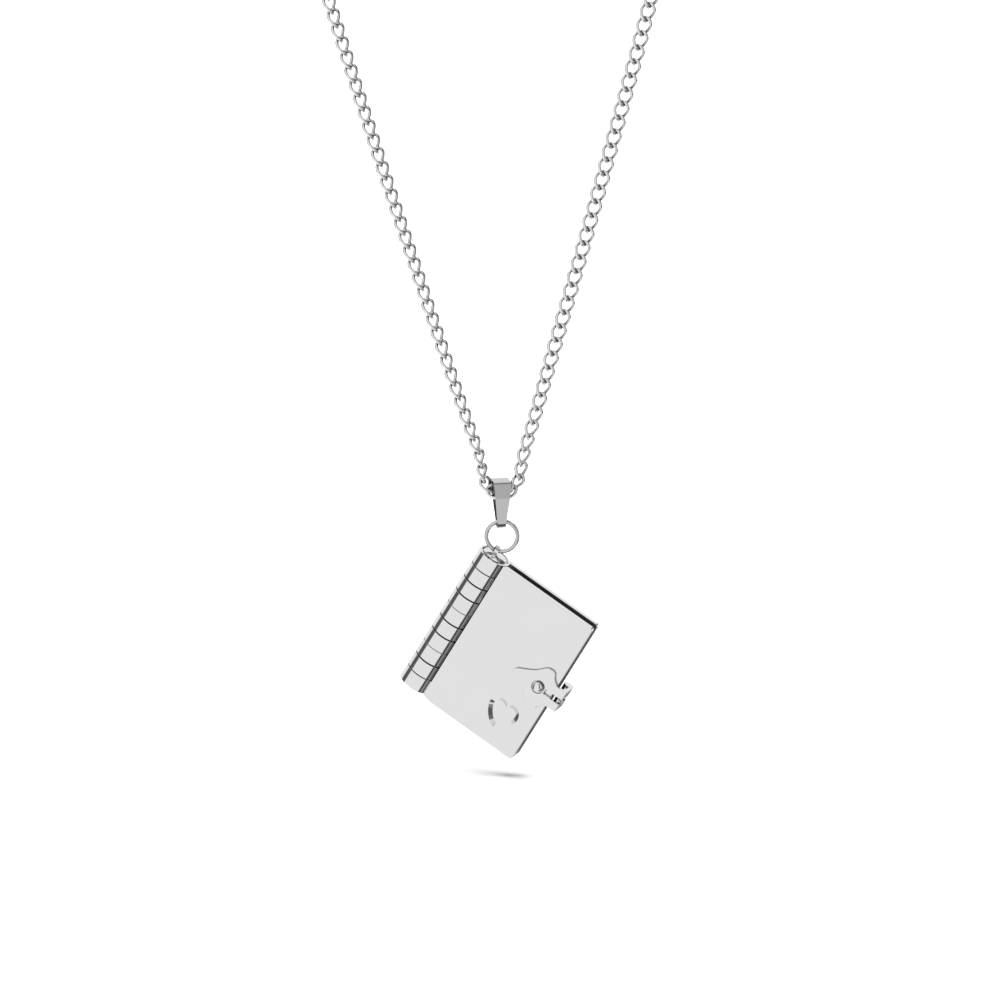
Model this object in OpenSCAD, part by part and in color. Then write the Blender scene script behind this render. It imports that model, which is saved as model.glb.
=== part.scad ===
// Steel necklace with a little hinged book as its pendant.
// Frame: +Z up, +X to the wearer's left, -Y to the front. Millimetres.
// Origin: the middle of the chain's back, where it lies on the nape of the neck.

/* [Chain] */
// Thickness of a link's wire
wire_d = 0.64; // [0.5:0.02:0.66]
// Width across one link
link_w = 3.1; // [3:0.05:3.2]
// Space between two links where they hook into each other
link_gap = 0.1; // [0.1:0.01:0.14]
// Distance from one link to the next
link_pitch = 2.69; // [2.66:0.01:2.72]
// Links made one by one on each side of the bail
front_links = 37; // [20:1:40]
// Height over the bail where the chain leaves the vertical and bends back over the shoulders
drape_straight = 110; // [100:5:120]
// Radius of that bend
drape_r = 60; // [50:5:70]
// How far the top of the chain leans back from the vertical, in degrees
drape_lean = 60; // [50:5:70]
// Length of the clasp at the nape
clasp_l = 10; // [8:1:12]
// Diameter of that clasp
clasp_d = 4; // [3:0.5:5]

/* [Bail and ring] */
// Thickness of the bail's strap
strap_t = 0.4; // [0.3:0.05:0.45]
// Width of the strap over the chain
bail_w = 3.2; // [3:0.1:3.6]
// Width of the strap round the jump ring
bail_tip_w = 1.6; // [1.4:0.1:2]
// Depth of the bail from front to back
bail_depth = 4.2; // [3.8:0.1:4.4]
// Distance from the top of the bail to the crease in its front
bail_crease = 3; // [2.5:0.1:3.5]
// Turn of the bail about the vertical, in degrees
bail_yaw = 10; // [0:1:14]
// Diameter of the jump ring's wire
ring_wire_d = 0.77; // [0.7:0.01:0.8]
// Radius of the jump ring, at the middle of its wire
ring_r = 2.84; // [2.8:0.02:3]

/* [Book] */
// Height of the covers
book_h = 30.45; // [28:0.05:32]
// Distance from the spine's axis to the covers' free edge
book_w = 22.75; // [21:0.05:24]
// Thickness of the closed book
book_t = 4; // [3.8:0.1:4.2]
// Thickness of one cover
cover_t = 1.1; // [1:0.05:1.2]
// Diameter of the spine's hinge barrel
spine_d = 6.2; // [5.8:0.1:6.4]
// Number of knuckles in the spine, an even number
knuckles = 10; // [8:2:12]
// Lean of the hanging book, top to the right, in degrees
book_roll = 31.1; // [25:0.1:38]
// Turn of the book about the vertical, in degrees
book_yaw = 19.2; // [10:0.1:25]
// Place of the spine's eye on the jump ring, in degrees from the ring's bottom
eye_place = 22.5; // [15:0.5:30]

/* [Heart and clasp] */
// Width of the heart pressed into the front cover
heart_w = 6.2; // [5:0.1:6.5]
// Depth of the heart
heart_depth = 0.5; // [0.3:0.05:0.6]
// Width of its sloped wall
heart_wall = 0.75; // [0.5:0.05:0.8]
// Diameter of the ball on the clasp
ball_d = 2.1; // [1.8:0.1:2.2]
// Thickness of the clasp's plate
hasp_t = 0.6; // [0.4:0.05:0.7]
// Diameter of the clasp's hinge barrel
latch_d = 1.9; // [1.8:0.05:2]

/* [Hidden] */
$fn = 48;

// Radial play of the book's hinge
play = 0.05;
// Gap round a piece that is fixed in another
seat = 0.05;

// First links on each side, from the hook under the bail's top up. The left side's rows come first.
// Each row: [slant above the horizontal, slant to the back, roll, slack], three angles and a length.
FIRST = [
    [[20.7, -6.8, -33, 0.45], [57.5, -13.2, -61, 0.35], [82, 0, -68, 0]],
    [[20.9, 17.4, -5, 0.45], [56.4, 3.7, -46, 0.35], [83.1, 0, -47, 0]]];
LOW_HOOK = [-0.02, -0.03, -2.53];
function first_hook(g, k) =
    k == 0 ? LOW_HOOK
    : let (f = FIRST[g][k - 1], l = link_pitch - f[3])
      first_hook(g, k - 1) + l * [(2 * g - 1) * cos(f[0]) * cos(f[1]), sin(f[1]), sin(f[0]) * cos(f[1])];
HAND = len(FIRST[0]);

// Route of the chain from those links to the nape, on the left and on the right.
// Each row: [sideways, distance up the drape from the bail's top, roll of the links in degrees].
RISE = [
    [[-4.33, 5.8, -66], [-5.5, 9, -62], [-9.2, 20, -56], [-15.7, 40, -52], [-22.1, 60, -50], [-28.3, 80, -50],
     [-34.4, 100, -50], [-40.5, 120, -46], [-46.6, 140, -42], [-52.6, 160, -36], [-58.7, 180, -30],
     [-62, 198.5, -24], [-58.5, 218, -18], [-48.5, 235, -12], [-33.5, 248, -6], [-15, 254.5, 0],
     [-5, 255.5, 0]],
    [[4.22, 5.8, -43], [5.2, 9, -38], [8.2, 20, -26], [13.7, 40, -20], [19.1, 60, -18], [24.4, 80, -18],
     [29.4, 100, -18], [34.4, 120, -16], [39.4, 140, -14], [44.4, 160, -12], [49.2, 180, -10],
     [52, 198.5, -8], [48.5, 218, -6], [38.5, 235, -3], [23.5, 248, 0], [5, 254.5, 0],
     [-5, 255.5, 0]]];
ROUTES = [for (g = [0, 1])
    concat([[first_hook(g, HAND).x, first_hook(g, HAND).z, FIRST[g][HAND - 1][2]]], RISE[g])];
// Steps of the smooth curve between two rows
STEPS = 8;

// The drape: straight up, then round a bend, then leaning back to the nape
bend_l = drape_r * drape_lean * PI / 180;
function bend_angle(w) =
    w < drape_straight ? 0 : w > drape_straight + bend_l ? drape_lean
    : (w - drape_straight) / drape_r * 180 / PI;
function drape(u, w) =
    let (a = bend_angle(w), over = max(0, w - drape_straight - bend_l))
    [u, drape_r * (1 - cos(a)) + over * sin(a),
     min(w, drape_straight) + drape_r * sin(a) + over * cos(a)];
// Front side of the drape at a height
function drape_normal(w) = let (a = bend_angle(w)) [0, -cos(a), sin(a)];

// Nape of the neck, from the top of the bail
nape = drape(RISE[0][len(RISE[0]) - 1].x, RISE[0][len(RISE[0]) - 1].y);

// Smooth curve through a route's rows, with slopes taken over the two neighbouring chords
function chord(r, i) = norm([r[i + 1].x - r[i].x, r[i + 1].y - r[i].y]);
function slope(r, i) =
    i == 0 ? (r[1] - r[0]) / chord(r, 0)
    : i == len(r) - 1 ? (r[i] - r[i - 1]) / chord(r, i - 1)
    : let (before = chord(r, i - 1), after = chord(r, i))
      ((r[i + 1] - r[i]) / after * before + (r[i] - r[i - 1]) / before * after) / (before + after);
function between(r, i, f) =
    let (h = chord(r, i), f2 = f * f, f3 = f2 * f)
    r[i] * (2 * f3 - 3 * f2 + 1) + r[i + 1] * (3 * f2 - 2 * f3)
    + slope(r, i) * h * (f3 - 2 * f2 + f) + slope(r, i + 1) * h * (f3 - f2);
function curve(r) =
    [for (i = [0 : len(r) - 2], k = [0 : STEPS - 1]) between(r, i, k / STEPS), r[len(r) - 1]];
function runs(p) = [for (i = 0, run = 0; i < len(p);
                         run = run + (i + 1 < len(p) ? norm(p[i + 1] - p[i]) : 0), i = i + 1) run];
CURVES = [for (r = ROUTES) curve(r)];
SPACES = [for (c = CURVES) [for (p = c) drape(p.x, p.y)]];
RUNS = [for (p = SPACES) runs(p)];
// Place, drape height and roll by the distance along each side's route
function table(g, list, j) = [for (i = [0 : len(list) - 1]) [RUNS[g][i], list[i][j]]];
PLACES = [for (g = [0, 1]) [for (j = [0 : 2]) table(g, SPACES[g], j)]];
HEIGHTS = [for (g = [0, 1]) table(g, CURVES[g], 1)];
ROLLS = [for (g = [0, 1]) table(g, CURVES[g], 2)];
// The hand-placed links may end a little before or behind the route, which they join over this length
join_l = 40;
function place(g, run) =
    [for (j = [0 : 2]) lookup(run, PLACES[g][j])]
    + [0, first_hook(g, HAND).y * max(0, 1 - run / join_l), 0];

// The eyes on the clasp's two ends, and where the last link hooks into them
eye_ring_r = 1;
eye_ring_wire = 0.6;
clasp_hook = clasp_l / 2 + 1.37;
clasp_reach = clasp_l / 2 + 0.7 + eye_ring_r + eye_ring_wire / 2;
// Length of each side's route, and the exact distance between its links
route_l = [for (r = RUNS) r[len(r) - 1]];
pitch = [for (l = route_l) (l - clasp_hook) / round((l - clasp_hook) / link_pitch)];
// Hook number k on a side, counted from the lowest one
function hook(g, k) = k <= HAND ? first_hook(g, k) : place(g, (k - HAND) * pitch[g]);

// One link: a flat ring whose two ends are twisted a quarter turn against each other
LINK_STEPS = 10;
WIRE_SIDES = 5;
link_a = (link_pitch + wire_d + link_gap) / 2;
link_b = (link_w - wire_d) / 2;
// A link's flat end lies where a round link's end would
end_stretch = 1 / cos(180 / LINK_STEPS);
function link_point(t) =
    let (twist = 45 * cos(t))
    [link_a * end_stretch * cos(t), link_b * sin(t) * cos(twist), -link_b * sin(t) * sin(twist)];
function unit(v) = v / norm(v);
// Side of the chain at a place: a unit vector across the links, after their roll
function across(along, normal, roll) =
    let (side = unit(cross(along, normal)))
    side * cos(roll) + unit(cross(side, along)) * sin(roll);

// Stand-in for the links behind the neck
tube_w = 3;
tube_t = 1.6;
TUBE_SIDES = 8;
TUBE_RINGS = 27;

// Bail, measured down from its top, which is the place z = 0 until the last move to the origin
bail_x = -0.2;
corner_r = 0.6;
tip_hole_r = 0.7;
ring_top_z = -7.75;
ring_z = ring_top_z - ring_r;
tip_z = ring_top_z - 0.1;

// The eye on the spine's end, along the ring's wire
eye_w = 0.8;
eye_hole_r = 0.6;
eye_r = 1;
eye_off = [-0.4, 0, 0.95];
eye_turn = 18;
eye_at = [-ring_r * sin(eye_place), 0, ring_z - ring_r * cos(eye_place)];
// Turns a direction of the upright book into the hanging one's
function hang(v) =
    let (x = v.x * cos(book_roll) + v.z * sin(book_roll), z = -v.x * sin(book_roll) + v.z * cos(book_roll))
    [x * cos(book_yaw) + v.y * sin(book_yaw), -x * sin(book_yaw) + v.y * cos(book_yaw), z];
// Middle of the spine's top end
spine_top = eye_at - hang(eye_off);

// Book, upright: x from the spine to the free edge, y from front to back, z up the spine
half_t = book_t / 2;
spine_r = spine_d / 2;
knuckle_wall = 0.4;
pin_r = spine_r - knuckle_wall - play;
pin_bore_r = pin_r - 0.35;
// The covers reach below the spine by this
spine_up = 0.55;
spine_l = book_h - spine_up;
knuckle_h = spine_l / knuckles;
// Gap between each knuckle and the next, from the top: some stand further apart
KNUCKLE_GAPS = [0.2, 0.3, 0.3, 0.12, 0.3, 0.3, 0.12, 0.3, 0.2];
function gap_at(i) = i < 0 || i >= knuckles - 1 ? 0 : KNUCKLE_GAPS[min(i, len(KNUCKLE_GAPS) - 1)];
cover_x = 2.65;
cover_corner = 0.6;
relief_r = spine_r + 0.15;
groove_depth = 0.4;
// The lowest knuckle has hardly a groove
low_groove = 0.12;

// Clasp at the free edge: its plate, the ball's pocket and the hinge
mid_z = -book_h / 2;
ball_x = book_w - 2.85;
plate_y = -half_t - 0.1;
pocket_r = 1.3;
pocket_depth = 0.4;
shank_r = 0.75;
latch_r = latch_d / 2;
latch_x = book_w + 1.2;
latch_y = half_t - 0.7;
// The plate's window, its two arms and the lug between them
window_half = 0.55;
arm_half = 2.2;
lug_gap = 0.12;
strap_fore_t = 0.6;

// Moves a piece from the bail's top to the nape's origin
module hung() { translate(-nape) children(); }
// Sets a piece of the upright book where the book hangs
module on_book() {
    hung() translate(spine_top) rotate([0, book_roll, -book_yaw]) children();
}
// A round bar along the spine, from height z up
module bar(r, h, z) { translate([0, 0, z]) cylinder(r = r, h = h); }

// Skin of a swept ring or tube: faces between sections of n points each
function band(i, j, n) =
    [for (k = [0 : n - 1]) [i * n + k, i * n + (k + 1) % n, j * n + (k + 1) % n, j * n + k]];

// Link number k on side g, between two hooks
module link(g, k) {
    from = hook(g, k - 1);
    to = hook(g, k);
    run = max(0, (k - HAND - 0.5) * pitch[g]);
    along = unit(to - from);
    wide = across(along, drape_normal(lookup(run, HEIGHTS[g])),
                  k <= HAND ? FIRST[g][k - 1][2] : lookup(run, ROLLS[g]));
    deep = cross(along, wide);
    points = [for (i = [0 : LINK_STEPS - 1])
        let (t = 360 * (i + 0.5) / LINK_STEPS, p = link_point(t),
             ahead = unit(link_point(t + 4) - link_point(t - 4)),
             out = unit(cross(ahead, [0, 0, 1])), up = cross(out, ahead))
        for (s = [0 : WIRE_SIDES - 1])
            let (q = p + (out * cos(360 * s / WIRE_SIDES) + up * sin(360 * s / WIRE_SIDES)) * wire_d / 2)
            (from + to) / 2 + along * q.x + wide * q.y + deep * q.z];
    polyhedron(points, [for (i = [0 : LINK_STEPS - 1]) each band(i, (i + 1) % LINK_STEPS, WIRE_SIDES)]);
}

// Flattened tube over the links that are not made one by one
module chain_tube(g) {
    a = (front_links - HAND) * pitch[g] + (link_a - link_pitch / 2) + wire_d / 2 + 0.15;
    b = route_l[g] - clasp_reach - 0.15;
    points = [for (i = [0 : TUBE_RINGS - 1])
        let (run = a + (b - a) * i / (TUBE_RINGS - 1),
             along = unit(place(g, run + 0.5) - place(g, run - 0.5)),
             wide = across(along, drape_normal(lookup(run, HEIGHTS[g])), lookup(run, ROLLS[g])),
             deep = cross(wide, along))
        for (s = [0 : TUBE_SIDES - 1])
            let (t = 360 * (s + 0.5) / TUBE_SIDES)
            place(g, run) + wide * cos(t) * tube_w / 2 + deep * sin(t) * tube_t / 2];
    polyhedron(points, [
        [for (s = [TUBE_SIDES - 1 : -1 : 0]) s],
        for (i = [0 : TUBE_RINGS - 2]) each band(i, i + 1, TUBE_SIDES),
        [for (s = [0 : TUBE_SIDES - 1]) (TUBE_RINGS - 1) * TUBE_SIDES + s]]);
}

module chain_front() {
    color("silver") hung() for (g = [0, 1], k = [1 : front_links]) link(g, k);
}

module chain_back() {
    color("silver") hung() for (g = [0, 1]) chain_tube(g);
}

// Plain barrel clasp at the nape, with an eye on each end
module neck_clasp() {
    end_r = clasp_d * 0.3;
    color("gainsboro") {
        rotate([0, 90, 0]) rotate_extrude()
            polygon([[0, -clasp_l / 2], [end_r, -clasp_l / 2], [clasp_d / 2, -clasp_l / 4],
                     [clasp_d / 2, clasp_l / 4], [end_r, clasp_l / 2], [0, clasp_l / 2]]);
        for (s = [-1, 1]) translate([s * (clasp_l / 2 + 0.7), 0, 0]) rotate([s * 45, 0, 0])
            rotate_extrude() translate([eye_ring_r, 0]) circle(d = eye_ring_wire);
    }
}

// Side view of the bail or, grown inwards by the strap's thickness, of its hollow
function arc(x, z, r, a, b) =
    [for (i = [0 : 8]) let (t = a + (b - a) * i / 8) [x + r * cos(t), z + r * sin(t)]];
module bail_side(inset) {
    half = bail_depth / 2 - inset;
    r = max(corner_r - inset, 0.1);
    polygon(concat(
        arc(half - r, -inset - r, r, 90, 0),
        [[half, -bail_crease]],
        arc(0, tip_z, tip_hole_r + strap_t - inset, -10, -170),
        [[-half, -bail_crease]],
        arc(-half + r, -inset - r, r, 180, 90)));
}

module bail() {
    end_z = tip_z - tip_hole_r - strap_t - 1;
    color("darkgray") hung() translate([bail_x, 0, 0]) rotate([0, 0, bail_yaw]) intersection() {
        rotate([90, 0, 90]) translate([0, 0, -bail_w]) linear_extrude(2 * bail_w)
            difference() { bail_side(0); bail_side(strap_t); }
        rotate([90, 0, 0]) translate([0, 0, -bail_depth]) linear_extrude(2 * bail_depth)
            polygon([[-bail_w / 2, 1], [bail_w / 2, 1], [bail_w / 2, -0.5], [bail_tip_w / 2, tip_z],
                     [bail_tip_w / 2, end_z], [-bail_tip_w / 2, end_z],
                     [-bail_tip_w / 2, tip_z], [-bail_w / 2, -0.5]]);
    }
}

module jump_ring() {
    color("silver") hung() translate([0, 0, ring_z]) rotate([90, 0, 0])
        rotate_extrude() translate([ring_r, 0]) circle(d = ring_wire_d);
}

// Tube through the spine, with a domed cap and the eye on its top
module spine_pin() {
    dome_r = pin_r - 0.3;
    dome_h = 0.35;
    dome_ball = (dome_r * dome_r + dome_h * dome_h) / (2 * dome_h);
    color("gainsboro") on_book() difference() {
        union() {
            bar(pin_r, spine_l - 0.35, -spine_l);
            bar(dome_r, 0.5, -0.5);
            intersection() {
                translate([0, 0, dome_h - dome_ball]) sphere(r = dome_ball);
                bar(dome_r, 1, -0.1);
            }
            translate([eye_off.x, 0, 0]) rotate([0, 0, eye_turn]) {
                translate([0, 0, eye_off.z]) rotate([0, 90, 0])
                    cylinder(r = eye_r, h = eye_w, center = true);
                translate([-eye_w / 2, -eye_r * 0.7, 0]) cube([eye_w, eye_r * 1.4, 0.7]);
            }
        }
        translate([eye_off.x, 0, eye_off.z]) rotate([0, 0, eye_turn]) rotate([0, 90, 0])
            cylinder(r = eye_hole_r, h = 2 * eye_w, center = true);
        bar(pin_bore_r, spine_l - 1.5, -spine_l - 0.01);
    }
}

// A cover's outline, x from the spine and the height above the lower edge
module cover_outline() {
    difference() {
        union() {
            translate([cover_x, 0]) square([book_w - cover_x - cover_corner, book_h]);
            translate([cover_x, cover_corner]) square([book_w - cover_x, book_h - 2 * cover_corner]);
            for (z = [cover_corner, book_h - cover_corner])
                translate([book_w - cover_corner, z]) circle(r = cover_corner);
        }
        translate([cover_x, 0]) polygon([[-1, -1], [2.5, -1], [2.5, 0], [1.2, 0.08],
                                         [0.4, 0.28], [0, spine_up], [-1, spine_up]]);
    }
}

// One cover, upright, its outer face at y = side * half_t. Its own knuckles are every second one.
module cover(side, first) {
    inner = half_t - cover_t;
    y_low = side < 0 ? -half_t : inner;
    difference() {
        union() {
            translate([0, y_low + cover_t, -book_h]) rotate([90, 0, 0])
                linear_extrude(cover_t) cover_outline();
            for (i = [first : 2 : knuckles - 1]) {
                low = -knuckle_h * (i + 1) + gap_at(i) / 2;
                high = -knuckle_h * i - gap_at(i - 1) / 2;
                groove = i == knuckles - 1 ? low_groove : groove_depth;
                bar(spine_r, high - low, low);
                translate([spine_r - knuckle_wall * 2, side < 0 ? -half_t + groove : inner, low])
                    cube([cover_x - spine_r + knuckle_wall * 2 + 1, cover_t - groove, high - low]);
            }
        }
        bar(pin_r + play, book_h + 2, -book_h - 1);
        for (i = [1 - first : 2 : knuckles - 1])
            bar(relief_r, knuckle_h + (gap_at(i) == 0 ? 1 : 0) + (gap_at(i - 1) == 0 ? 1 : 0),
                -knuckle_h * (i + 1) - (gap_at(i) == 0 ? 1 : 0));
    }
}

// The back cover, with the clasp's lug at its free edge
module back_cover() {
    lug_half = window_half - lug_gap;
    color("silver") on_book() {
        cover(1, 0);
        translate([latch_x, latch_y, mid_z - lug_half]) cylinder(r = latch_r, h = 2 * lug_half);
        translate([book_w - 0.5, latch_y, mid_z - lug_half])
            cube([latch_x - book_w + 0.5, half_t - latch_y, 2 * lug_half]);
    }
}

// Outline of the heart, its tip down: two round lobes and full flanks, from the notch round to the tip
HEART_FLANK = [[0.88, -0.52], [0.752, -0.742], [0.603, -0.945], [0.426, -1.119], [0.216, -1.262]];
function heart_half() =
    let (w = heart_w / 2, r = w * 0.613)
    concat([for (i = [0 : 14]) let (t = 129.2 - 149.2 * i / 14)
                [max(0, w - r + r * cos(t)), -w * 0.08 + r * sin(t)]],
           w * HEART_FLANK);
function heart_line() =
    let (h = heart_half(), n = len(h))
    concat([[0, h[0].y]], [for (i = [1 : n - 1]) h[i]], [[0, -heart_w / 2 * 1.368]],
           [for (i = [n - 1 : -1 : 1]) [-h[i].x, h[i].y]]);
// The same outline, moved inwards by d
function edge_in(p, i) =
    let (n = len(p), a = p[i % n], b = p[(i + 1) % n], e = (b - a) / norm(b - a)) [e.y, -e.x];
function inset(p, d) =
    [for (i = [0 : len(p) - 1])
        let (m = edge_in(p, i + len(p) - 1), n = edge_in(p, i)) p[i] + d * (m + n) / (1 + m * n)];
// Hollow of the heart, sunk into the plane z = 0 and open above it
module heart() {
    line = heart_line();
    n = len(line);
    top = inset(line, -heart_wall * 0.4);
    floor = inset(line, heart_wall);
    polyhedron(concat([for (p = floor) [p.x, p.y, -heart_depth]],
                      [for (p = top) [p.x, p.y, heart_depth * 0.4]]),
               concat([[for (i = [n - 1 : -1 : 0]) i], [for (i = [0 : n - 1]) n + i]],
                      [for (i = [0 : n - 1]) [n + i, i, (i + 1) % n, n + (i + 1) % n]]));
}

module front_cover() {
    heart_x = 16.75;
    heart_z = -23;
    color("silver") on_book() difference() {
        cover(-1, 1);
        translate([heart_x, -half_t, heart_z]) rotate([90, 0, 0]) heart();
    }
}

// Outline of the clasp's plate, from its tip at the left to the arms over the cover's free edge
PLATE = [[-5.45, 0], [-5.35, 0.3], [-5.05, 0.65], [-4.6, 0.85], [-3.2, 1.6], [-1.95, 2.4], [-0.65, 3.8],
         [0, 4.2], [0.9, 4.2], [1.45, 3.9], [1.6, 3.4], [1.9, 2.95], [2.4, 2.45], [3, arm_half]];

// Plate on the front cover, two arms over the free edge, and a knuckle at the end of each
module latch_plate() {
    arm_end = latch_x + latch_r - ball_x;
    arm_l = arm_half - window_half;
    color("gainsboro") on_book() translate([ball_x, plate_y, mid_z]) difference() {
        union() {
            rotate([90, 0, 0]) linear_extrude(hasp_t)
                polygon(concat([for (p = PLATE) p], [[arm_end, arm_half], [arm_end, -arm_half]],
                               [for (i = [len(PLATE) - 1 : -1 : 1]) [PLATE[i].x, -PLATE[i].y]]));
            for (z = [-arm_half, window_half]) {
                translate([arm_end - strap_fore_t, -hasp_t, z])
                    cube([strap_fore_t, latch_y - plate_y + hasp_t, arm_l]);
                translate([latch_x - ball_x, latch_y - plate_y, z]) cylinder(r = latch_r, h = arm_l);
            }
        }
        translate([1.45, -2, -window_half]) cube([5, 5, 2 * window_half]);
        translate([0, pocket_depth - hasp_t, 0]) rotate([90, 0, 0]) cylinder(r = pocket_r, h = 1);
        translate([0, 1, 0]) rotate([90, 0, 0]) cylinder(r = shank_r + seat, h = 3);
    }
}

// Ball in the plate's pocket, on a shank let into the plate
module ball_stud() {
    floor = hasp_t - pocket_depth;
    color("gainsboro") on_book() translate([ball_x, plate_y, mid_z]) rotate([90, 0, 0]) {
        cylinder(r = shank_r, h = hasp_t);
        difference() {
            translate([0, 0, hasp_t]) sphere(d = ball_d);
            translate([0, 0, floor + seat - 2]) cylinder(r = 3, h = 2);
        }
    }
}

chain_front();
chain_back();
neck_clasp();
bail();
jump_ring();
spine_pin();
back_cover();
front_cover();
latch_plate();
ball_stud();
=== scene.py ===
"""Looks of the book necklace: real chain links, polished steel, a pale studio floor."""
from math import cos, pi, radians, sin

import bpy
import numpy as np
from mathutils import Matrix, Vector


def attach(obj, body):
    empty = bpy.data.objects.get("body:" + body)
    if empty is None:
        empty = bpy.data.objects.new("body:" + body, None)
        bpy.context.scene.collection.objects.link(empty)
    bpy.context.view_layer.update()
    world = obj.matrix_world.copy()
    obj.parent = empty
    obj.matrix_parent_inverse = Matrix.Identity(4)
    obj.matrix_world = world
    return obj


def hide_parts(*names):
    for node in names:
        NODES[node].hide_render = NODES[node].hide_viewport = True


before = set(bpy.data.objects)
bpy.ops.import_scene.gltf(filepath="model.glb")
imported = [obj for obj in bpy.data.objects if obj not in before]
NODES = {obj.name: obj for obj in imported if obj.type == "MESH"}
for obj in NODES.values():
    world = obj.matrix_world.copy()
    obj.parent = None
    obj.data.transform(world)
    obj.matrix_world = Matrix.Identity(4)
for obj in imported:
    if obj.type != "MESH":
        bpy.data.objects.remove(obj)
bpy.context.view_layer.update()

STUDIO = bpy.context.scene.collection
# Lengths are in mm. MM turns them into the scene's metres.
MM = 0.001

# Route of the chain, as in the part's source

# The drape goes straight up from the top of the bail, round a bend, then leans back to the nape.
DRAPE_STRAIGHT, DRAPE_R, DRAPE_LEAN = 110.0, 60.0, radians(60)
BEND_L = DRAPE_R * DRAPE_LEAN

# The first links on each side, from the hook under the bail's top up, the left side's first. Each
# row: slant above the horizontal, slant to the back and roll, in degrees, and slack.
FIRST = (((20.7, -6.8, -33, 0.45), (57.5, -13.2, -61, 0.35), (82, 0, -68, 0)),
         ((20.9, 17.4, -5, 0.45), (56.4, 3.7, -46, 0.35), (83.1, 0, -47, 0)))
LOW_HOOK = np.array([-0.02, -0.03, -2.53])

# From those links to the nape, on the left and on the right. Each row: sideways, distance up the
# drape, and roll of the links in degrees.
RISE = (((-4.33, 5.8, -66), (-5.5, 9, -62), (-9.2, 20, -56), (-15.7, 40, -52), (-22.1, 60, -50),
         (-28.3, 80, -50), (-34.4, 100, -50), (-40.5, 120, -46), (-46.6, 140, -42), (-52.6, 160, -36),
         (-58.7, 180, -30), (-62, 198.5, -24), (-58.5, 218, -18), (-48.5, 235, -12), (-33.5, 248, -6),
         (-15, 254.5, 0), (-5, 255.5, 0)),
        ((4.22, 5.8, -43), (5.2, 9, -38), (8.2, 20, -26), (13.7, 40, -20), (19.1, 60, -18),
         (24.4, 80, -18), (29.4, 100, -18), (34.4, 120, -16), (39.4, 140, -14), (44.4, 160, -12),
         (49.2, 180, -10), (52, 198.5, -8), (48.5, 218, -6), (38.5, 235, -3), (23.5, 248, 0),
         (5, 254.5, 0), (-5, 255.5, 0)))

# Steps of the smooth curve between two rows
STEPS = 8
# The first links may end a little before or behind the route, which they join over this length.
JOIN_L = 40.0
# Where the last link hooks into the clasp, by its distance from the nape
CLASP_HOOK = 6.37
LINK_PITCH = 2.69


def unit(v):
    return v / np.linalg.norm(v)


def bend_angle(w):
    return min(max((w - DRAPE_STRAIGHT) / DRAPE_R, 0), DRAPE_LEAN)


def drape(u, w):
    """Place on the drape, u sideways and w up along it, from the top of the bail."""
    a = bend_angle(w)
    over = max(0, w - DRAPE_STRAIGHT - BEND_L)
    return np.array([u, DRAPE_R * (1 - cos(a)) + over * sin(a),
                     min(w, DRAPE_STRAIGHT) + DRAPE_R * sin(a) + over * cos(a)])


def first_hooks(side):
    """Hooks of the first links of one side, from the lowest one up."""
    hooks = [LOW_HOOK]
    outward = 2 * side - 1
    for slant, slant_back, _, slack in FIRST[side]:
        up, back = radians(slant), radians(slant_back)
        step = np.array([outward * cos(up) * cos(back), sin(back), sin(up) * cos(back)])
        hooks.append(hooks[-1] + (LINK_PITCH - slack) * step)
    return hooks


def smooth(rows):
    """Smooth curve through the rows, with slopes taken over the two neighbouring chords."""
    rows = np.array(rows, float)
    chord = np.linalg.norm(np.diff(rows[:, :2], axis=0), axis=1)
    steps = np.diff(rows, axis=0) / chord[:, None]
    slope = [steps[0]]
    for i in range(1, len(rows) - 1):
        before, after = chord[i - 1], chord[i]
        slope.append((steps[i] * before + steps[i - 1] * after) / (before + after))
    slope.append(steps[-1])
    points = []
    for i, h in enumerate(chord):
        for k in range(STEPS):
            f = k / STEPS
            points.append(rows[i] * (2 * f**3 - 3 * f**2 + 1) + rows[i + 1] * (3 * f**2 - 2 * f**3)
                          + slope[i] * h * (f**3 - 2 * f**2 + f) + slope[i + 1] * h * (f**3 - f**2))
    points.append(rows[-1])
    return np.array(points)


def side_links(side):
    """Each link of one side as (from hook, to hook, front normal, roll), from the bail to the clasp."""
    hooks = first_hooks(side)
    placed = len(hooks) - 1
    last = hooks[-1]
    curve = smooth(((last[0], last[2], FIRST[side][-1][2]),) + RISE[side])
    space = np.array([drape(u, w) for u, w, _ in curve])
    run = np.concatenate([[0], np.cumsum(np.linalg.norm(np.diff(space, axis=0), axis=1))])
    rest = run[-1] - CLASP_HOOK
    count = round(rest / LINK_PITCH)
    pitch = rest / count

    def at(length):
        p = np.array([np.interp(length, run, space[:, j]) for j in range(3)])
        return p + np.array([0, last[1] * max(0, 1 - length / JOIN_L), 0])

    hooks += [at(pitch * (k + 1)) for k in range(count)]
    made = []
    for k in range(1, len(hooks)):
        length = max(0, (k - placed - 0.5) * pitch)
        a = bend_angle(np.interp(length, run, curve[:, 1]))
        roll = FIRST[side][k - 1][2] if k <= placed else np.interp(length, run, curve[:, 2])
        made.append((hooks[k - 1], hooks[k], np.array([0, -cos(a), sin(a)]), radians(roll)))
    return made


# The frame's origin is the nape, at the route's end, so this is the top of the bail in the frame.
BAIL_TOP = -Vector(drape(*RISE[0][-1][:2]))

# Camera

CAMERA_ELEVATION = radians(15)
CAMERA_DISTANCE = 2400.0
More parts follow.
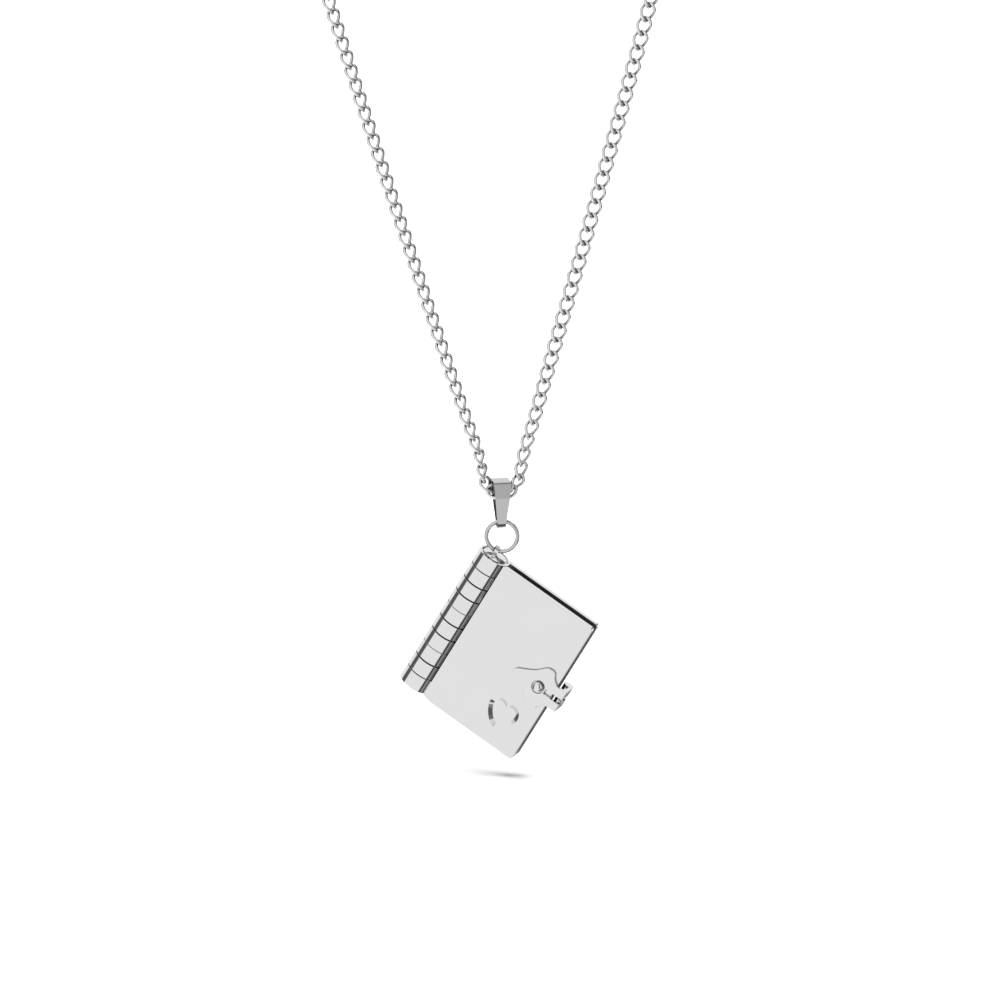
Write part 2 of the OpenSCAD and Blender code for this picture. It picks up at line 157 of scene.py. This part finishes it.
# The middle of the picture, and the scale there
PICTURE_CENTRE = BAIL_TOP + Vector((-0.36, 0, -3.77))
PX_PER_MM = 5.5
IMAGE_PX = 1000
SENSOR = 36.0
CLIP_NEAR, CLIP_FAR = 100.0, 60000.0
look = Vector((0, cos(CAMERA_ELEVATION), -sin(CAMERA_ELEVATION)))
camera = bpy.data.objects.new("camera", bpy.data.cameras.new("camera"))
camera.data.sensor_width = SENSOR
camera.data.lens = SENSOR * CAMERA_DISTANCE / (IMAGE_PX / PX_PER_MM)
camera.data.clip_start = CLIP_NEAR * MM
camera.data.clip_end = CLIP_FAR * MM
camera.location = (PICTURE_CENTRE - look * CAMERA_DISTANCE) * MM
camera.rotation_mode = "QUATERNION"
camera.rotation_quaternion = look.to_track_quat("-Z", "Y")
STUDIO.objects.link(camera)
bpy.context.scene.camera = camera


# Shader nodes
def add(tree, kind, *values, settings=None, **named):
    """A new shader node of this kind. settings are its own properties. values are its inputs in
    order and named are inputs by name, each a number, a vector or another node's output."""
    node = tree.nodes.new(f"ShaderNode{kind}")
    for name, value in (settings or {}).items():
        setattr(node, name, value)
    for place, value in [*enumerate(values), *named.items()]:
        socket = node.inputs[place]
        if isinstance(value, bpy.types.NodeSocket):
            tree.links.new(value, socket)
        else:
            socket.default_value = value
    return node


def calc(tree, operation, *values):
    return add(tree, "Math", *values, settings={"operation": operation}).outputs["Value"]


def dot(tree, vector, direction):
    return add(tree, "VectorMath", vector, direction, settings={"operation": "DOT_PRODUCT"}).outputs["Value"]


def remap(tree, value, start, end, low, high, kind="LINEAR"):
    """low up to where the value is start, high from where it is end, and between them between."""
    limits = {"From Min": start, "From Max": end, "To Min": low, "To Max": high}
    return add(tree, "MapRange", value, settings={"interpolation_type": kind}, **limits).outputs["Result"]


def blend(tree, factor, a, b):
    return add(tree, "Mix", Factor=factor, A=a, B=b).outputs["Result"]


def blend_colors(tree, factor, a, b, kind="MIX"):
    settings = {"data_type": "RGBA", "blend_type": kind}
    return add(tree, "Mix", settings=settings, Factor=factor, A=a, B=b).outputs["Result"]


# Materials

# The book's own directions: FRONT is the way that its front face looks, UP runs up the spine and
# ACROSS from the spine to the free edge.
BOOK_YAW, BOOK_ROLL = radians(19.2), radians(31.1)
FRONT = Vector((-sin(BOOK_YAW), -cos(BOOK_YAW), 0))
UP = Vector((sin(BOOK_ROLL) * cos(BOOK_YAW), -sin(BOOK_ROLL) * sin(BOOK_YAW), cos(BOOK_ROLL)))
ACROSS = UP.cross(FRONT)

# Faint clouds in the polish: the steel's roughness is multiplied by the first of these where they
# are thin and by the second where they are thick, and where they are thin it is this much darker.
CLOUD_ROUGH = (0.7, 1.5)
CLOUD_DARK = 0.03
CLOUD_NOISE = {"Scale": 160.0, "Detail": 4.0}

# Fine scratches, each long in one direction
SCRATCH_SCALE, SCRATCH_TURN = (300.0, 300.0, 6000.0), (0.3, 0.9, 0.2)
SCRATCH_NOISE = {"Scale": 1.0, "Detail": 3.0}
SCRATCH_STRENGTH, SCRATCH_DEPTH = 0.02, 0.02

# Painted shade in hollows: the colour is darkest where this share of the surroundings is open, and the
# painted shade ends at the second.
PAINTED_SHADE_OPEN = (0.35, 0.95)
PAINTED_SHADE_SAMPLES, BEVEL_SAMPLES = 8, 4

# The covers' inner faces are unpolished, from the spine's width on. They start to show where the
# normal agrees this far with their direction, and their colour is dimmed with a mottle, painted shade inside
# the book.
SPINE_W = 6.4
INNER_FACE = (0.98, 0.99)
INNER_ROUGH = 0.35
INNER_PAINTED_SHADE = (0.44, 0.50)
MOTTLE_SCALE, MOTTLE_RANGE = 700.0, (0.3, 0.7)

# The spine's shaft is painted black under its cap, painted shade inside the knuckles, with a short blurred
# edge.
CAP_L, CAP_BLUR = 2.6, 0.05
SHAFT_PAINTED_SHADE, SHAFT_GREY = 0.02, 0.78

COVER_COLOR = (0.78, 0.78, 0.785)


def reach(node, direction):
    """The lowest and the highest place of a CAD node along a direction, in metres."""
    places = [direction.dot(v.co) for v in NODES[node].data.vertices]
    return min(places), max(places)


def grey(value):
    return (value, value, value)


def steel(name, color, rough, painted_shade=None, bevel=None, inward=None):
    """Polished steel with faint clouds and scratches. painted_shade paints shade into its hollows: how
    far that shade reaches, and how bright the hollows stay. bevel is the radius that rounds its edges.
    inward is the direction that a cover's inner face looks in; that face is dimmed with painted shade."""
    material = bpy.data.materials.new(name)
    material.use_nodes = True
    tree = material.node_tree
    shader = tree.nodes["Principled BSDF"]
    shader.inputs["Metallic"].default_value = 1.0
    coords = add(tree, "TexCoord").outputs
    place = coords["Object"]

    cloud = add(tree, "TexNoise", Vector=place, **CLOUD_NOISE).outputs["Fac"]
    gloss = remap(tree, cloud, 0.0, 1.0, rough * CLOUD_ROUGH[0], rough * CLOUD_ROUGH[1])
    shade = blend_colors(tree, cloud, (*[c * (1 - CLOUD_DARK) for c in color], 1), (*color, 1))

    if inward:
        spine_edge = reach("back_cover", ACROSS)[0] + SPINE_W * MM
        past_spine = calc(tree, "GREATER_THAN", dot(tree, place, ACROSS), spine_edge)
        inner = remap(tree, dot(tree, coords["Normal"], inward), *INNER_FACE, 0.0, past_spine)
        # Painted shade: the inner faces are dimmed to about half their colour, with a mottle.
        mottle = add(tree, "TexNoise", Vector=place, Scale=MOTTLE_SCALE).outputs["Fac"]
        inner_shade = remap(tree, mottle, *MOTTLE_RANGE, *INNER_PAINTED_SHADE)
        gloss = blend(tree, inner, gloss, INNER_ROUGH)
        shade = blend_colors(tree, 1.0, shade, blend(tree, inner, 1.0, inner_shade), "MULTIPLY")

    # Painted shade: the colour is darkened where ambient occlusion finds a hollow, crease or joint.
    if painted_shade:
        distance, darkest = painted_shade
        settings = {"samples": PAINTED_SHADE_SAMPLES}
        around = add(tree, "AmbientOcclusion", settings=settings, Distance=distance * MM).outputs["AO"]
        hollow_shade = remap(tree, around, *PAINTED_SHADE_OPEN, darkest, 1.0, "SMOOTHSTEP")
        shade = blend_colors(tree, 1.0, shade, hollow_shade, "MULTIPLY")

    grain = add(tree, "Mapping", Vector=place, Scale=SCRATCH_SCALE, Rotation=SCRATCH_TURN).outputs["Vector"]
    scratches = add(tree, "TexNoise", Vector=grain, **SCRATCH_NOISE).outputs["Fac"]
    bump = add(tree, "Bump", Strength=SCRATCH_STRENGTH, Distance=SCRATCH_DEPTH * MM, Height=scratches)
    if bevel:
        edges = add(tree, "Bevel", settings={"samples": BEVEL_SAMPLES}, Radius=bevel * MM)
        tree.links.new(edges.outputs["Normal"], bump.inputs["Normal"])

    tree.links.new(gloss, shader.inputs["Roughness"])
    tree.links.new(shade, shader.inputs["Base Color"])
    tree.links.new(bump.outputs["Normal"], shader.inputs["Normal"])
    return material


def cover_steel(node, seam, inward=None):
    """The smoothest steel, with rounded edges and shade painted dark into its seams. seam is how far that
    painted shade reaches.
    """
    return steel(f"{node}_steel", COVER_COLOR, 0.07, painted_shade=(seam, 0.3), bevel=0.09, inward=inward)


def shaft_painted_shade():
    """Steel painted black under the spine's cap, painted shade so that the joints of the knuckles show as
    dark lines.
    """
    material = steel("shaft_painted_shade", grey(SHAFT_GREY), 0.10)
    tree = material.node_tree
    cap_end = reach("spine_pin", UP)[1] - CAP_L * MM
    height = dot(tree, add(tree, "TexCoord").outputs["Object"], UP)
    blur = CAP_BLUR * MM
    # Painted shade: black below the cap's end, steel grey above it.
    shade = remap(tree, height, cap_end - blur, cap_end + blur, SHAFT_PAINTED_SHADE, SHAFT_GREY)
    tree.links.new(shade, tree.nodes["Principled BSDF"].inputs["Base Color"])
    return material


# The chain, the fittings and the jump ring get painted shade in their hollows and where links cross.
CHAIN_STEEL = steel("chain_steel", grey(0.80), 0.08, painted_shade=(0.9, 0.12))
FITTING_STEEL = steel("fitting_steel", grey(0.78), 0.10, painted_shade=(0.8, 0.25))
MATERIALS = {
    "neck_clasp": FITTING_STEEL,
    "bail": steel("bail_steel", grey(0.54), 0.13),
    "jump_ring": steel("ring_steel", grey(0.58), 0.10, painted_shade=(0.8, 0.25)),
    "spine_pin": shaft_painted_shade(),
    "back_cover": cover_steel("back_cover", 0.35, FRONT),
    "front_cover": cover_steel("front_cover", 0.35, -FRONT),
    "latch_plate": cover_steel("latch_plate", 0.22),
    "ball_stud": FITTING_STEEL,
}
for node, material in MATERIALS.items():
    mesh = NODES[node].data
    mesh.materials.clear()
    mesh.materials.append(material)

# Links of the chain

WIRE_R = 0.32
LINK_GAP, LINK_W = 0.1, 3.1
LINK_A = (LINK_PITCH + 2 * WIRE_R + LINK_GAP) / 2
LINK_B = LINK_W / 2 - WIRE_R
FRONT_LINKS = 37
# How finely a link is drawn: points round the ring, and round its wire
FRONT_DETAIL, BACK_DETAIL = (40, 14), (28, 10)
# A small step along a link, which gives the wire's direction there
SMALL_STEP = 0.01


def link_line(t):
    """Centre line of one link: a ring whose two ends are twisted a quarter turn against each other."""
    twist = pi / 4 * cos(t)
    return np.array([LINK_A * cos(t), LINK_B * sin(t) * cos(twist), -LINK_B * sin(t) * sin(twist)])


def link_skin(around, sides):
    """Points of one link in its own axes: along, wide, deep."""
    points = []
    for i in range(around):
        t = 2 * pi * i / around
        ahead = unit(link_line(t + SMALL_STEP) - link_line(t - SMALL_STEP))
        out = unit(np.cross(ahead, [0, 0, 1]))
        up = np.cross(out, ahead)
        for s in range(sides):
            a = 2 * pi * s / sides
            points.append(link_line(t) + WIRE_R * (out * cos(a) + up * sin(a)))
    return np.array(points)


def mesh_object(name, points, faces, material):
    mesh = bpy.data.meshes.new(name)
    mesh.from_pydata([tuple(p) for p in points], [], faces)
    mesh.update()
    mesh.materials.append(material)
    obj = bpy.data.objects.new(name, mesh)
    STUDIO.objects.link(obj)
    return obj


def chain(name, links, detail, node):
    """The links as one piece, in place of a CAD node."""
    around, sides = detail
    skin = link_skin(around, sides)
    points, faces = [], []
    for start, end, normal, roll in links:
        along = unit(end - start)
        side = unit(np.cross(along, normal))
        wide = side * cos(roll) + unit(np.cross(side, along)) * sin(roll)
        deep = np.cross(along, wide)
        centre = (start + end) / 2 + np.array(BAIL_TOP)
        base = len(points)
        points.extend((centre + skin @ np.stack([along, wide, deep])) * MM)
        for i in range(around):
            j = (i + 1) % around
            for s in range(sides):
                n = (s + 1) % sides
                faces.append((base + i * sides + s, base + i * sides + n,
                              base + j * sides + n, base + j * sides + s))
    obj = mesh_object(name, points, faces, CHAIN_STEEL)
    obj.data.shade_smooth()
    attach(obj, "chain")
    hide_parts(node)


left, right = side_links(0), side_links(1)
chain("links_front", left[:FRONT_LINKS] + right[:FRONT_LINKS], FRONT_DETAIL, "chain_front")
chain("links_back", left[FRONT_LINKS:] + right[FRONT_LINKS:], BACK_DETAIL, "chain_back")

# Floor

# How far it lies under the top of the bail, and how far it goes each way
FLOOR_DROP, FLOOR_REACH = 55.6, 12000.0
FLOOR_GREY, FLOOR_ROUGH = 0.93, 0.9


def floor_paint():
    material = bpy.data.materials.new("floor")
    material.use_nodes = True
    shader = material.node_tree.nodes["Principled BSDF"]
    shader.inputs["Base Color"].default_value = (*grey(FLOOR_GREY), 1)
    shader.inputs["Roughness"].default_value = FLOOR_ROUGH
    shader.inputs["Specular IOR Level"].default_value = 0.0
    return material


corners = [Vector((x * FLOOR_REACH, y * FLOOR_REACH, BAIL_TOP.z - FLOOR_DROP)) * MM
           for x, y in ((-1, -1), (1, -1), (1, 1), (-1, 1))]
floor = mesh_object("floor", corners, [(0, 1, 2, 3)], floor_paint())
floor.visible_glossy = False

# Studio light

# The metal mirrors a white tent with dark cards. Each card: from, to and softness of its edges
# around the object, where 0 is the front and 90 the right, the same upward, all in degrees, and how
# dark it is.
CARDS = (
    ((-120, -87, 5), (-30, 40, 20), 0.88),
    ((19, 39, 5), (-90, -42, 8), 0.93),
    ((39, 56, 4), (-90, -30, 8), 0.70),
    ((56, 76, 5), (-90, -30, 8), 0.93),
    ((10, 22, 4), (-27, 60, 10), 0.25),
    ((25, 48, 4), (-30, 75, 8), 0.88),
    ((74, 112, 6), (-40, 38, 10), 0.92),
    ((112, 143, 6), (2, 38, 6), 0.92),
    ((60, 160, 10), (50, 80, 6), 0.95),
    ((-180, -150, 16), (-60, -5, 10), 0.5),
    ((155, 180, 8), (-60, -5, 10), 0.7),
)
# How bright the tent is, and how much of that is kept off the floor
TENT_LIGHT, KEPT_OFF_FLOOR = 0.98, 0.49
LAMP_LIGHT, LAMP_ANGLE = 4.75, radians(55)

world = bpy.data.worlds.new("studio")
world.use_nodes = True
bpy.context.scene.world = world
sky = world.node_tree


def band(value, low, high, soft):
    """1 between low and high, with soft edges."""
    rise = remap(sky, value, low - soft / 2, low + soft / 2, 0.0, 1.0, "SMOOTHSTEP")
    fall = remap(sky, value, high - soft / 2, high + soft / 2, 1.0, 0.0, "SMOOTHSTEP")
    return calc(sky, "MULTIPLY", rise, fall)


way = add(sky, "SeparateXYZ", add(sky, "TexCoord").outputs["Generated"]).outputs
turn = calc(sky, "DEGREES", calc(sky, "ARCTAN2", way["X"], calc(sky, "MULTIPLY", way["Y"], -1.0)))
lift = calc(sky, "DEGREES", calc(sky, "ARCSINE", way["Z"]))
glow = 1.0
for around, upward, dark in CARDS:
    card = calc(sky, "MULTIPLY", band(turn, *around), band(lift, *upward))
    glow = calc(sky, "MULTIPLY", glow, calc(sky, "SUBTRACT", 1.0, calc(sky, "MULTIPLY", card, dark)))
# With half of the tent's light kept off the floor, the lamp's shadow shows there. Behind the object
# the camera sees plain white.
path = add(sky, "LightPath").outputs
kept_off = calc(sky, "MULTIPLY", path["Is Diffuse Ray"], KEPT_OFF_FLOOR)
tent = sky.nodes["Background"]
sky.links.new(glow, tent.inputs["Color"])
sky.links.new(calc(sky, "SUBTRACT", TENT_LIGHT, kept_off), tent.inputs["Strength"])
backdrop = add(sky, "Background", Color=(1, 1, 1, 1))
seen = add(sky, "MixShader", path["Is Camera Ray"], tent.outputs[0], backdrop.outputs[0])
sky.links.new(seen.outputs[0], sky.nodes["World Output"].inputs["Surface"])

# A soft lamp overhead lights the whole floor. The metal doesn't mirror it.
lamp = bpy.data.lights.new("overhead", "SUN")
lamp.energy = LAMP_LIGHT
lamp.angle = LAMP_ANGLE
overhead = bpy.data.objects.new("overhead", lamp)
overhead.visible_glossy = False
STUDIO.objects.link(overhead)

bpy.context.scene.view_settings.view_transform = "Standard"
